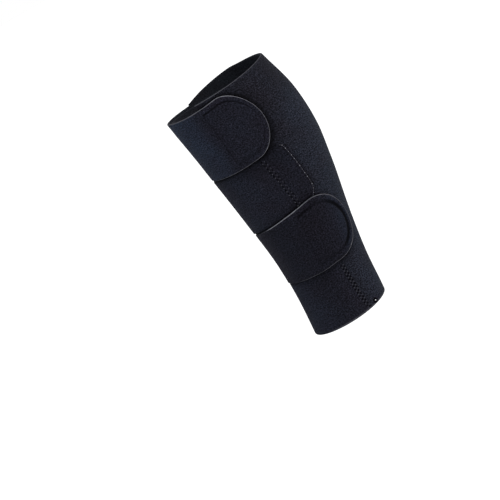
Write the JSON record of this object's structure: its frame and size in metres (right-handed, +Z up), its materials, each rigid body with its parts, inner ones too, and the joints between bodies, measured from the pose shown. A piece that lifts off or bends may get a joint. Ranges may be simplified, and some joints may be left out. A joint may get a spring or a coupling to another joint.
{
  "type": "calf compression wrap",
  "caption": "Tapered neoprene sleeve for the lower leg, closed round the shin by broad round-ended hook tabs that press on the calf.",
  "frame": {"origin": "on the leg's axis at the height of the lower rim's front, where the wrap sits on a lower leg", "axes": "+Z up the leg towards the knee, -X towards the shin, +X towards the calf, -Y towards the outer side where the tabs end"},
  "size_m": [0.1369, 0.1289, 0.288],
  "materials": {
    "loop_face": "dark navy loop-faced knit over neoprene, faintly heathered",
    "smooth_face": "near-black navy smooth knit over neoprene",
    "tab_face": "near-black navy smooth knit over neoprene, pale cut edges",
    "hook_tape": "black hook tape",
    "patch_cloth": "near-black navy sewn cloth"
  },
  "bodies": {
    "root": {"calf_panel": "loop_face", "front_panel": "smooth_face", "upper_tab": "tab_face", "lower_tab": "tab_face", "upper_hook_pad": "hook_tape", "lower_hook_pad": "hook_tape", "side_patch": "patch_cloth"}
  },
  "joints": []
}
